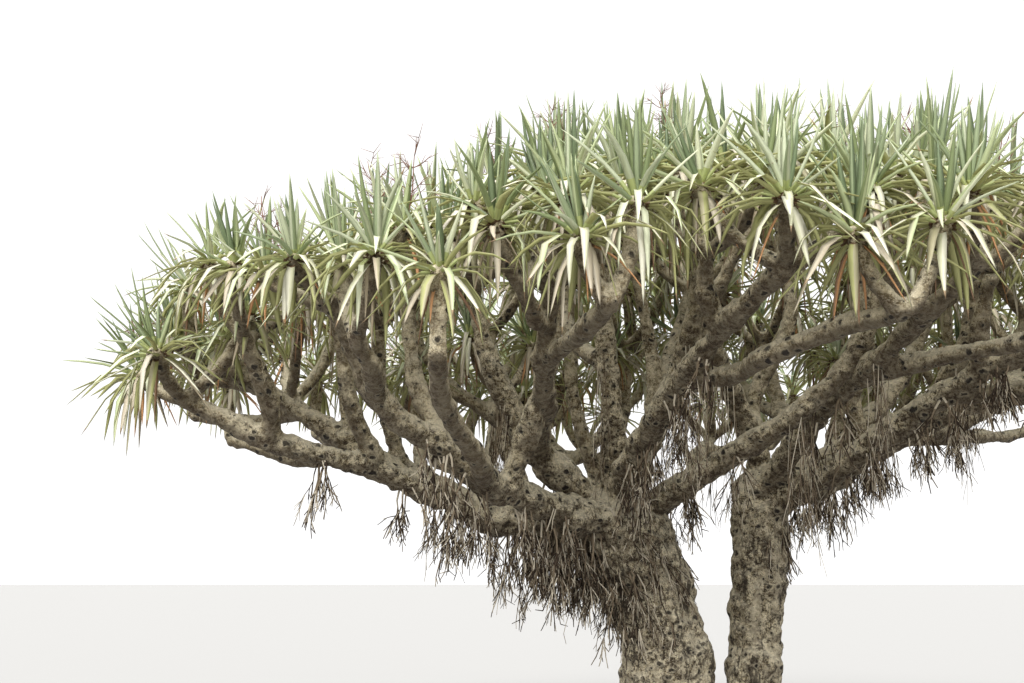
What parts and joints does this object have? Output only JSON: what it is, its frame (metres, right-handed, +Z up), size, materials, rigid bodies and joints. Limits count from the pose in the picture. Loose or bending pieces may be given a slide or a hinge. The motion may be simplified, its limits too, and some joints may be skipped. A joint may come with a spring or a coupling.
{
  "type": "dragon tree",
  "caption": "Old dragon tree with stout twin stems from one root, a fan of knobbly boughs, hanging air roots and a wide umbrella crown of sword-leaf rosettes.",
  "frame": {"origin": "middle of the main stem's flat cut at ground level, on the ground mount", "axes": "+Z up; +X to the right and +Y away as the picture sees the tree"},
  "size_m": [9.5611, 8.4285, 5.579],
  "materials": {
    "trunk_bark": "rough fissured bark",
    "bough_bark": "ringed grey bark",
    "foliage": "leathery sword leaves, satin",
    "air_root": "dry fibrous roots"
  },
  "bodies": {
    "root": {"trunk_main": "trunk_bark", "trunk_second": "trunk_bark", "bough_left_low": "bough_bark", "bough_left_front": "bough_bark", "bough_left_high": "bough_bark", "bough_front": "bough_bark", "bough_front_left": "bough_bark", "bough_left_fork": "bough_bark", "bough_left_back": "bough_bark", "bough_left_far": "bough_bark", "bough_back_left": "bough_bark", "bough_right_low": "bough_bark", "bough_right": "bough_bark", "bough_front_right": "bough_bark", "bough_right_back": "bough_bark", "bough_back_right": "bough_bark", "bough_back": "bough_bark", "bough_middle_right": "bough_bark", "bough_middle_front_left": "bough_bark", "bough_middle_front": "bough_bark", "bough_middle_front_right": "bough_bark", "bough_middle_right_front": "bough_bark", "bough_middle_back_right": "bough_bark", "bough_middle_back": "bough_bark", "bough_middle_left_back": "bough_bark", "bough_top_left": "bough_bark", "bough_top_right": "bough_bark", "bough_top_back": "bough_bark", "foliage_left_low": "foliage", "foliage_left_front": "foliage", "foliage_left_high": "foliage", "foliage_front": "foliage", "foliage_front_left": "foliage", "foliage_left_fork": "foliage", "foliage_left_back": "foliage", "foliage_left_far": "foliage", "foliage_back_left": "foliage", "foliage_right_low": "foliage", "foliage_right": "foliage", "foliage_front_right": "foliage", "foliage_right_back": "foliage", "foliage_back_right": "foliage", "foliage_back": "foliage", "foliage_middle_right": "foliage", "foliage_middle_front_left": "foliage", "foliage_middle_front": "foliage", "foliage_middle_front_right": "foliage", "foliage_middle_right_front": "foliage", "foliage_middle_back_right": "foliage", "foliage_middle_back": "foliage", "foliage_middle_left_back": "foliage", "foliage_top_left": "foliage", "foliage_top_right": "foliage", "foliage_top_back": "foliage", "air_roots_1_left_low": "air_root", "air_roots_2_left_low": "air_root", "air_roots_3_left_front": "air_root", "air_roots_4_front": "air_root", "air_roots_5_right_low": "air_root", "air_roots_6_back": "air_root"}
  },
  "joints": []
}
